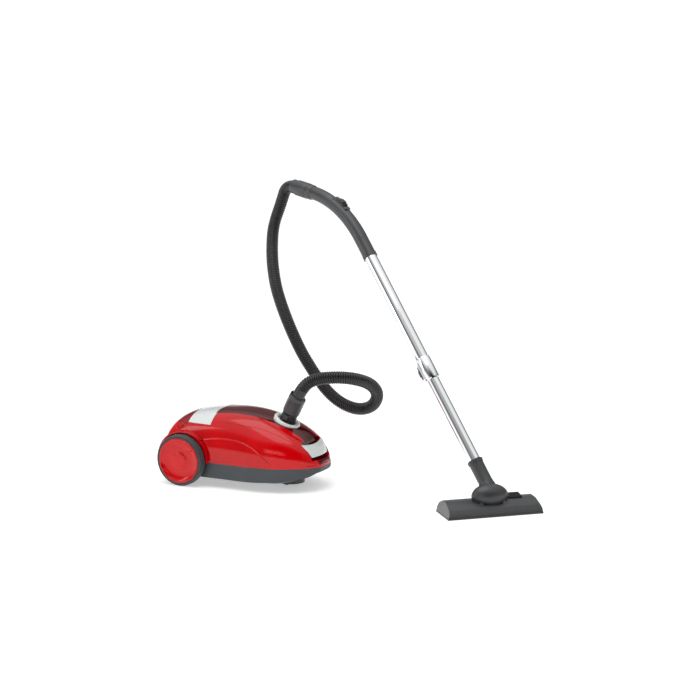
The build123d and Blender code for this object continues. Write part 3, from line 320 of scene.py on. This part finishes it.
def stations(line, pitch):
    """Evenly spaced points along a line, with the line's directions there."""
    lengths = [0.0]
    for a, b in zip(line, line[1:]):
        lengths.append(lengths[-1] + (b - a).length)
    count = round(lengths[-1] / pitch)
    found, k = [], 0
    for step in range(count + 1):
        goal = lengths[-1] * step / count
        while k < len(line) - 2 and lengths[k + 1] < goal:
            k += 1
        share = (goal - lengths[k]) / max(1e-9, lengths[k + 1] - lengths[k])
        found.append(line[k].lerp(line[k + 1], share))
    ways = []
    for k in range(len(found)):
        ahead, behind = found[min(k + 1, count)], found[max(k - 1, 0)]
        ways.append((ahead - behind).normalized())
    return found, ways, lengths[-1]


def rib_radius(step, travelled):
    """Radius of the corrugated tube at a station: rounded crests between narrow valleys."""
    if travelled < SLEEVE:
        return HOSE_RADIUS - 0.2 * MM
    crest = abs(sin(pi * (step % RIB_STEPS) / RIB_STEPS)) ** 0.55
    return HOSE_RADIUS - 2.3 * MM * (1 - crest)


line = route_line(HOSE_ROUTE)
centres, ways, hose_length = stations(line, RIB_PITCH / RIB_STEPS)
bm = bmesh.new()
AROUND = 36
ring = bmesh.ops.create_circle(bm, cap_ends=False, segments=AROUND, radius=1.0)["verts"]
edges = bm.edges[:]
side = ways[0].orthogonal().normalized()
turns = [(cos(2 * pi * k / AROUND), sin(2 * pi * k / AROUND)) for k in range(AROUND)]
for step, (centre, way) in enumerate(zip(centres, ways)):
    side = (side - way * side.dot(way)).normalized()
    over = way.cross(side)
    if step:
        grown = bmesh.ops.extrude_edge_only(bm, edges=edges)["geom"]
        new_verts = [g for g in grown if isinstance(g, bmesh.types.BMVert)]
        edges = [g for g in grown if isinstance(g, bmesh.types.BMEdge)]
        ring = new_verts
    radius = rib_radius(step, step * RIB_PITCH / RIB_STEPS)
    for vert, (u, v) in zip(ring, turns):
        vert.co = centre + (side * u + over * v) * radius
for end in (0, 1):
    bmesh.ops.holes_fill(bm, edges=[e for e in bm.edges if e.is_boundary], sides=0)
bmesh.ops.recalc_face_normals(bm, faces=bm.faces)
hose = finished("corrugated_hose", bm, HOSE_PE, crease=60)
stand_for(hose, "canister", "hose_plastic", "hose")

# ---------------------------------------------------------------- plain finishes of CAD nodes
FINISHES = {
    INNER_PP: ["bulkhead", "bag_chamber", "motor_cradle", "reel_bracket", "cord_reel"],
    STEEL: ["lid_hinge_pin", "latch_pin", "wheel_axles", "caster_axle", "caster_clip", "nozzle_screws",
            "roller_axles", "pedal_pin", "reel_spring_case"],
    SEAL_RUBBER: ["inlet_gasket", "motor_mounts"],
    FLEECE: ["pre_motor_filter", "exhaust_filter"],
    BAG_CARD: ["bag_holder"],
    CAST_ALUMINIUM: ["motor_housing", "motor_rotor"],
    LAMINATION_STEEL: ["motor_stator"],
    BLACK_ABS: ["power_switch", "cord_outlet", "cuff_clips", "nozzle_sole", "guide_bush"],
    BRISTLE: ["brush_bristles"],
    BAG_PAPER: ["dust_bag"],
}
for finish, names in FINISHES.items():
    for name in names:
        mesh = NODES[name].data
        mesh.materials.clear()
        mesh.materials.append(finish)

smooth_piece("upper_shell", "canister", "red_casing", RED_ABS)
smooth_piece("pearl_band", "canister", "pearl_silver", PEARL_ABS)
smooth_piece("exhaust_cover", "canister", "red_casing", DEEP_RED_ABS)
smooth_piece("base_tray", "canister", "slate_base", SLATE_PP)
smooth_piece("hose_swivel_collar", "canister", "dark_plastic", CHARCOAL_ABS)
smooth_piece("caster_fork", "caster", "slate_base", SLATE_PP)
smooth_piece("caster_wheel", "caster_roller", "tyre_rubber", TYRE_RUBBER)
smooth_piece("handle_grip", "handle", "dark_plastic", CHARCOAL_ABS)
smooth_piece("suction_slider", "slider", "black_plastic", BLACK_ABS)
smooth_piece("upper_tube", "handle", "chrome_tube", CHROME)
smooth_piece("lock_collar", "handle", "chrome_tube", CHROME)
smooth_piece("lock_button", "tube_lock", "black_plastic", BLACK_ABS)
smooth_piece("lower_tube", "lower_wand", "chrome_tube", CHROME)
smooth_piece("nozzle_neck", "lower_wand", "dark_plastic", CHARCOAL_ABS)
smooth_piece("pivot_drum", "drum", "dark_plastic", CHARCOAL_ABS)
smooth_piece("brush_pedal", "pedal", "dark_plastic", DARK_ABS)
smooth_piece("brush_carrier", "brush", "dark_plastic", DARK_ABS)
for hand in ("left", "right"):
    smooth_piece("nozzle_roller_" + hand, "roller_" + hand, "tyre_rubber", TYRE_RUBBER)

# ---------------------------------------------------------------- casings
def side_hit(tree, x, z, side):
    """The point and outward normal of the shell's side at a station and height."""
    start = at(x, side * 260, z)
    spot, normal, _, _ = tree.ray_cast(start, Vector((0, -side, 0)))
    return spot, normal


def crease_height(x):
    """Height of the crease along the flank: an arc from the wheel arch down to the base."""
    if x < CREASE_PEAK:
        return 136.0 - 11.0 * ((CREASE_PEAK - x) / 74.0) ** 2
    return 136.0 - 60.0 * ((x - CREASE_PEAK) / 142.0) ** 2.6


CREASE_PEAK = 118.0
FLANK_FRONT = 264.0
FLANK_FOOT = 68.5
ARCH_RADIUS = 77.0        # edge of the flank round the rear wheel


def flank_panel(side):
    """The raised flank under the crease, laid on the shell's own surface."""
    shell = BVHTree.FromBMesh(merged_copy("upper_shell"))
    columns, rows = 64, 22
    bm = bmesh.new()
    bmesh.ops.create_grid(bm, x_segments=columns, y_segments=rows, size=0.5)
    loose = []
    for vert in bm.verts:
        along, up = vert.co.x + 0.5, vert.co.y + 0.5
        back = sqrt(ARCH_RADIUS ** 2 - (58.0 * up) ** 2)
        x = back + (FLANK_FRONT - back) * along
        top = crease_height(x)
        spot, normal = side_hit(shell, x, FLANK_FOOT + (top - FLANK_FOOT) * up, side)
        if spot is None:
            loose.append(vert)
            continue
        edge = min(1.0, along / 0.03, (1 - along) / 0.10, (1 - up) / 0.07, up / 0.02)
        rise = 2.6 * MM * sin(pi / 2 * edge) - 0.35 * MM
        vert.co = spot + normal * rise
    bmesh.ops.delete(bm, geom=loose, context="VERTS")
    bm.normal_update()
    outward = sum(f.normal.y * side for f in bm.faces)
    if outward < 0:
        bmesh.ops.reverse_faces(bm, faces=bm.faces)
    hand = "left" if side > 0 else "right"
    stand_for(finished("flank_panel_" + hand, bm, RED_ABS, crease=80), "canister", "red_casing")


def two_tone_lid():
    """The lid: a tinted crown between two red shoulders, over the dark finger recess."""
    bm = merged_copy("lid")
    for side in (-1, 1):
        near, far = at(71, side * 61, 0), at(330, side * 35, 0)
        run = (far - near).normalized()
        out = Vector((run.y, -run.x, 0)) * -side
        bmesh.ops.bisect_plane(bm, geom=bm.verts[:] + bm.edges[:] + bm.faces[:], dist=1e-6,
                               plane_co=near, plane_no=out)
        for face in bm.faces:
            middle = face.calc_center_median()
            if (middle - near).dot(out) > 0 and face.normal.z > -0.2:
                face.material_index = 1
    stand_for(finished("lid_two_tone", bm, TINTED_PC, RED_ABS, crease=32), "lid", "tinted_lid", "lid")


# ---------------------------------------------------------------- rear wheels
def wheel_place(side):
    """Local frame of a rear wheel: X forward, Z outwards."""
    turn = Matrix.Rotation(radians(-90 * side), 4, "X")
    return Matrix.Translation(at(0, side * 120, 69)) @ turn @ Matrix.Scale(MM, 4)


TYRE = [(60, 2), (64.5, 1.8), (67.2, 2.6), (68.6, 4.4), (69, 6.5), (69, 9.2), (68.2, 9.6), (68.2, 10.4),
        (69, 10.8), (69, 15.2), (68.2, 15.6), (68.2, 16.4), (69, 16.8), (69, 19.5), (68.6, 21.8),
        (67.4, 23.6), (65.6, 24.4), (64.4, 24.2), (64.0, 23.6), (63.2, 23.6), (62.7, 24.3), (61.4, 24.6),
        (60.0, 24.2)]
HUB = [(60, 2), (60, 24.6), (59.4, 25.9), (58.2, 26.4), (57.0, 26.2), (56.0, 25.2), (54.6, 23.6), (52, 22.1),
       (49, 20.8), (46, 19.8), (43, 19.0), (40, 18.4), (37, 17.9), (34, 17.6), (31, 17.4), (28, 17.3),
       (25, 17.4), (22.5, 17.7), (20.5, 18.3), (19.0, 19.2), (17.5, 19.8), (15, 20.1), (11, 20.4), (6, 20.6),
       (0.01, 20.7)]


def swoosh(u, v):
    """Rise of the hub's face over the flowing line across it, from 0 to 1."""
    line_at = 24.0 + 12.5 * (1 - (u + 2) / sqrt(121 + (u + 2) ** 2)) + max(0.0, u - 20) * 0.3
    share = min(1.0, max(0.0, (v - line_at) / 2.2))
    return share * share * (3 - 2 * share)


def wheel(side):
    """Tyre with two grooves and a dished hub with a flowing step across its face."""
    hand = "left" if side > 0 else "right"
    body = "wheel_" + hand
    tyre = spun(TYRE, wheel_place(side), steps=128, close=True)
    stand_for(finished("ribbed_tyre_" + hand, tyre, TYRE_RUBBER, crease=50), body, "tyre_rubber",
              "tyre_" + hand)
    still = Matrix.Identity(4)
    hub = spun(HUB, still, steps=180)
    inner = [f for f in hub.faces if f.calc_center_median().xy.length < 53]
    bmesh.ops.subdivide_edges(hub, edges=list({e for f in inner for e in f.edges}), cuts=1,
                              use_grid_fill=True)
    for vert in hub.verts:
        radius = vert.co.xy.length
        if 15 < vert.co.z and radius < 55:
            fade = min(1.0, (55 - radius) / 5)
            vert.co.z += 3.4 * swoosh(vert.co.x, -vert.co.y * side) * fade
    bmesh.ops.holes_fill(hub, edges=[e for e in hub.edges if e.is_boundary], sides=0)
    bmesh.ops.recalc_face_normals(hub, faces=hub.faces)
    bmesh.ops.transform(hub, matrix=wheel_place(side), verts=hub.verts)
    stand_for(finished("dished_hub_" + hand, hub, RED_ABS, crease=50), body, "red_casing",
              "wheel_hub_" + hand)


# ---------------------------------------------------------------- inlet and cuff
INLET_RING = [(21.6, -20), (24.5, -20), (24.5, -12), (36.4, -12), (37, 1), (36.8, 3.6), (35.6, 5.8),
              (33.6, 7.0), (31, 7.3), (28.6, 6.8), (26.4, 5.2), (25.2, 2.8), (24.8, -1), (21.6, -1)]
LOWER_CUFF = [(20.6, 7.4), (20.9, 8), (20.9, 26.5), (19.4, 27.5), (15.2, 27.5), (15.2, -14), (21.4, -14),
              (21.4, 6.6), (20.6, 7.4)]
UPPER_CUFF = [(19.0, 27.6), (20.8, 27.6), (22.4, 28.8), (22.7, 30.5), (22.6, 66), (23.3, 67), (23.3, 75),
              (22.8, 76.6), (21.2, 77.6), (19.0, 77.6), (18.2, 79.0), (17.4, 78.6), (17.2, 66), (15.4, 66),
              (15.4, 29), (19.0, 27.6)]


def inlet_and_cuff():
    """White inlet ring, black release sleeve with its clips and the ribbed grey cuff."""
    ring = spun(INLET_RING, INLET, steps=96, close=True)
    stand_for(finished("rounded_inlet_ring", ring, WHITE_ABS, crease=50), "lid", "pearl_silver", "inlet_ring")
    lower = spun(LOWER_CUFF[:-1], INLET, steps=96, close=True)
    stand_for(finished("cuff_release_sleeve", lower, BLACK_ABS, crease=40), "cuff", "black_plastic")
    upper = spun(UPPER_CUFF[:-1], INLET, steps=96, close=True)
    stand_for(finished("cuff_sleeve", upper, CHARCOAL_ABS, crease=40), "cuff", "dark_plastic", "hose_cuff")
    for k, turn in enumerate((30, 90, 150, 210, 270, 330)):
        spot = INLET @ Matrix.Rotation(radians(turn), 4, "Z") @ Matrix.Translation((22.2, 0, 0))
        rib = slab([(-0.8, -1.6), (1.2, -0.9), (1.2, 0.9), (-0.8, 1.6)], 32, 64, spot, 0.35)
        stand_for(finished("cuff_rib_%d" % k, rib, CHARCOAL_ABS), "cuff", "dark_plastic")
    tab = slab([(-1.2, -6.5), (1.3, -5.5), (1.3, 5.5), (-1.2, 6.5)], 74, 84,
               INLET @ Matrix.Rotation(pi, 4, "Z") @ Matrix.Translation((20.6, 0, 0)), 0.8)
    stand_for(finished("cuff_strain_tab", tab, CHARCOAL_ABS), "cuff", "dark_plastic")


# ---------------------------------------------------------------- latch
LATCH_TOP, LATCH_DROP = 125.5, 34.0
LATCH_REACH = 56.0        # half width of the shield at its top edge


def latch_face():
    """The pearl shield that bridges the finger recess, with its ledge and its hook."""
    skin = BVHTree.FromBMesh(merged_copy("lid"))
    bm = bmesh.new()
    bmesh.ops.create_grid(bm, x_segments=28, y_segments=40, size=0.5)
    for vert in bm.verts:
        down, across = vert.co.x + 0.5, vert.co.y * 2
        half = LATCH_REACH - 13.0 * down ** 1.2
        sag = 5.0 * (1 - across ** 2) * (1 - down)
        height = LATCH_TOP - sag - (LATCH_DROP - sag) * down
        edge, _, _, _ = skin.ray_cast(at(500, -LATCH_REACH, height), Vector((-1, 0, 0)))
        crown = 6.0 * (1 - across ** 2)
        fold = 1.2 * max(0.0, 1 - abs(down - 0.34 - 0.10 * across ** 2) / 0.16) * (1 - across ** 2)
        vert.co = at(0, half * across, height)
        vert.co.x = edge.x + (0.8 + crown + fold) * MM
    rim = bmesh.ops.extrude_face_region(bm, geom=bm.faces[:])["geom"]
    back = [v for v in rim if isinstance(v, bmesh.types.BMVert)]
    bmesh.ops.translate(bm, vec=(2.4 * MM, 0, 0), verts=back)
    bmesh.ops.recalc_face_normals(bm, faces=bm.faces)
    border = [e for e in bm.edges if e.calc_face_angle(0) > radians(50)]
    bmesh.ops.bevel(bm, geom=border, offset=0.7 * MM, segments=3, profile=0.5, affect="EDGES", material=-1,
                    clamp_overlap=True)
    stand_for(finished("latch_shield", bm, PEARL_ABS, crease=50), "latch", "pearl_silver", "lid_latch")
    side_on = Matrix.Translation(at(0, 0, 0)) @ Matrix.Rotation(radians(90), 4, "X") @ Matrix.Scale(MM, 4)
    ledge = slab([(291, 130.5), (297, 130.5), (312, 121), (312, 117), (297, 125), (291, 125)],
                 -43, 43, side_on, 0.6)
    stand_for(finished("latch_ledge", ledge, PEARL_ABS), "latch", "pearl_silver")
    hook = slab([(296, 124), (312, 120), (311, 112), (302, 100), (294, 80), (290, 80), (285, 83),
                 (289.4, 85), (292, 98)], -7, 7, side_on, 0.4)
    stand_for(finished("latch_hook", hook, PEARL_ABS), "latch", "pearl_silver")


# ---------------------------------------------------------------- buttons
def oval(reach, radius, steps=16):
    """Outline of an oval with straight long sides."""
    points = []
    for end in (1, -1):
        for k in range(steps + 1):
            turn = pi * k / steps - pi / 2
            points.append((end * (reach + radius * cos(turn)), end * radius * sin(turn)))
    return points


def button_frame(side):
    """Local frame of a side button, Z pointing out of the body."""
    normal = Vector((-0.31, side * 0.672, 0.672)).normalized()
    along = (Vector((1, 0, 0)) - normal * normal.x).normalized()
    over = normal.cross(along)
    turn = Matrix((along, over, normal)).transposed().to_4x4()
    return Matrix.Translation(at(-27.0, side * 92.5, 153.0)) @ turn @ Matrix.Scale(MM, 4)


def side_button(side, name, body, node):
    """A crowned oval button in a rounded surround."""
    frame_at = button_frame(side)
    cap = slab(oval(4.0, 4.5), -15, 2.2, frame_at, 0.9, 3)
    stand_for(finished(name + "_cap", cap, RED_ABS, crease=50), body, "red_casing", node)
    bm = bmesh.new()
    outer = [bm.verts.new((x, y, 0.2)) for x, y in oval(4.4, 9.0)]
    inner = [bm.verts.new((x, y, 1.6)) for x, y in oval(4.2, 5.1)]
    middle = [bm.verts.new((x, y, 2.1)) for x, y in oval(4.3, 6.6)]
    low = [bm.verts.new((x, y, -3.0)) for x, y in oval(4.2, 5.1)]
    loops = []
    for row in (outer, middle, inner, low):
        loops.append([bm.edges.new((row[k], row[(k + 1) % len(row)])) for k in range(len(row))])
    for a, b in zip(loops, loops[1:]):
        bmesh.ops.bridge_loops(bm, edges=a + b)
    bmesh.ops.recalc_face_normals(bm, faces=bm.faces)
    if sum(f.normal.z for f in bm.faces) < 0:
        bmesh.ops.reverse_faces(bm, faces=bm.faces)
    bmesh.ops.transform(bm, matrix=frame_at, verts=bm.verts)
    stand_for(finished(name + "_surround", bm, RED_ABS, crease=70), "canister", "red_casing")


# ---------------------------------------------------------------- floor nozzle
def nozzle_shell():
    """The nozzle's cover: satin top, darker front band and paler end caps."""
    bm = merged_copy("nozzle_cover")
    back = NOZZLE.inverted()
    turn = back.to_3x3()
    for face in bm.faces:
        spot = back @ face.calc_center_median()
        normal = (turn @ face.normal).normalized()
        if spot.y < -37.8 and normal.y < -0.3:
            face.material_index = 1
        elif abs(normal.x) > 0.85 and abs(spot.x) > 112:
            face.material_index = 2
    piece = finished("nozzle_shell", bm, CHARCOAL_ABS, DARK_ABS, PALE_ABS, crease=36)
    stand_for(piece, "nozzle", "dark_plastic", "nozzle_cover")
    strip = slab([(-124.5, -48.0), (124.5, -48.0), (124.5, -46.6), (-124.5, -46.6)], 1.0, 6.5, NOZZLE, 0.5)
    stand_for(finished("nozzle_bumper", strip, BLACK_ABS), "nozzle", "black_plastic")


def drum_dome():
    """The smooth fairing that tilts with the drum, an ellipsoid about the tilting axis."""
    axis = NOZZLE @ Matrix.Translation((0, 0, 43)) @ Matrix.Rotation(radians(90), 4, "Y")
    profile = [(30.6 * sin(pi * k / 40), -48.0 * cos(pi * k / 40)) for k in range(1, 40)]
    dome = spun([(0.01, -48.0)] + profile + [(0.01, 48.0)], axis, 96)
    stand_for(finished("drum_dome", dome, CHARCOAL_ABS, crease=50), "drum", "dark_plastic")


def neck_bead():
    """The rolled rim round the mouth of the neck."""
    bead = [(18.4, 61.5), (20.2, 61.8), (20.9, 63.2), (20.6, 65.0), (19.2, 66.2), (17.2, 66.4), (16.3, 65.6),
            (16.3, 63.0)]
    stand_for(finished("neck_rim", spun(bead, WAND, 64, True), CHARCOAL_ABS, crease=60),
              "lower_wand", "dark_plastic")


# ---------------------------------------------------------------- shaped pieces
for hand in (-1, 1):
    flank_panel(hand)
    wheel(hand)
two_tone_lid()
inlet_and_cuff()
latch_face()
side_button(-1, "power_button", "power_key", "power_button")
side_button(1, "rewind_button", "rewind_key", "rewind_button")
nozzle_shell()
drum_dome()
neck_bead()

# ---------------------------------------------------------------- floor and light
bm = bmesh.new()
bmesh.ops.create_circle(bm, cap_ends=True, segments=96, radius=60.0)
# Pale light-table floor: matte, almost white, faintly lit from below.
floor_paint, tree, output = new_material("white_matte_floor_paint")
where = add(tree, "TexCoord").outputs["Object"]
mottle = add(tree, "TexNoise", {"Vector": where, "Scale": 3.0, "Detail": 4.0})
shade = add(tree, "Mix", {"Factor": mottle.outputs["Fac"]}, data_type="RGBA")
shade.inputs["A"].default_value = linear("F4F4F4")
shade.inputs["B"].default_value = linear("F8F8F8")
paint = add(tree, "BsdfPrincipled", {"Base Color": shade.outputs["Result"], "Roughness": 0.9,
                                     "Specular IOR Level": 0.1, "Emission Strength": 0.42,
                                     "Emission Color": (1.0, 1.0, 1.0, 1.0)})
tree.links.new(paint.outputs["BSDF"], output.inputs["Surface"])
floor = finished("studio_floor", bm, floor_paint)

# The studio is white at the horizon and overhead and dim between, with a dark wall on the visitor's
# side, so that polished parts show edges.
world = bpy.data.worlds.new("studio")
world.use_nodes = True
tree = world.node_tree
background = tree.nodes["Background"]
background.inputs["Strength"].default_value = 1.15
way = add(tree, "TexCoord").outputs["Generated"]
height = add(tree, "SeparateXYZ", {"Vector": way})
bands = add(tree, "ValToRGB", {"Fac": height.outputs["Z"]})
STUDIO_BANDS = [(0.0, 1.0), (0.10, 1.0), (0.20, 0.16), (0.46, 0.22), (0.70, 0.80), (1.0, 1.0)]
while len(bands.color_ramp.elements) < len(STUDIO_BANDS):
    bands.color_ramp.elements.new(0.5)
for stop, (position, grey) in zip(bands.color_ramp.elements, STUDIO_BANDS):
    stop.position = position
    stop.color = (grey, grey, grey, 1.0)
facing = add(tree, "VectorMath", {0: way, 1: (0.50, -0.82, 0.28)}, operation="DOT_PRODUCT")
flag = add(tree, "MapRange", {"Value": facing.outputs["Value"], "From Min": 0.72, "From Max": 0.92,
                              "To Min": 1.0, "To Max": 0.06})
shaded = add(tree, "VectorMath", {0: bands.outputs["Color"]}, operation="SCALE")
tree.links.new(flag.outputs["Result"], shaded.inputs["Scale"])
tree.links.new(shaded.outputs["Vector"], background.inputs["Color"])
bpy.context.scene.world = world
bpy.context.scene.view_settings.view_transform = "Standard"


def softbox(name, spot, target, width, height, power):
    """A rectangular soft light aimed at a point."""
    data = bpy.data.lights.new(name, "AREA")
    data.shape = "RECTANGLE"
    data.size, data.size_y, data.energy = width, height, power
    lamp = bpy.data.objects.new(name, data)
    lamp.location = spot
    lamp.rotation_euler = (Vector(target) - Vector(spot)).to_track_quat("-Z", "Y").to_euler()
    bpy.context.collection.objects.link(lamp)


softbox("overhead_softbox", (-0.2, -0.3, 2.6), (0, 0, 0.1), 2.4, 1.6, 20)
softbox("left_softbox", (-2.2, -1.6, 1.3), (-0.2, 0, 0.2), 0.7, 1.6, 10)
softbox("front_strip", (0.3, -2.8, 0.9), (-0.2, 0, 0.15), 1.4, 0.35, 4)
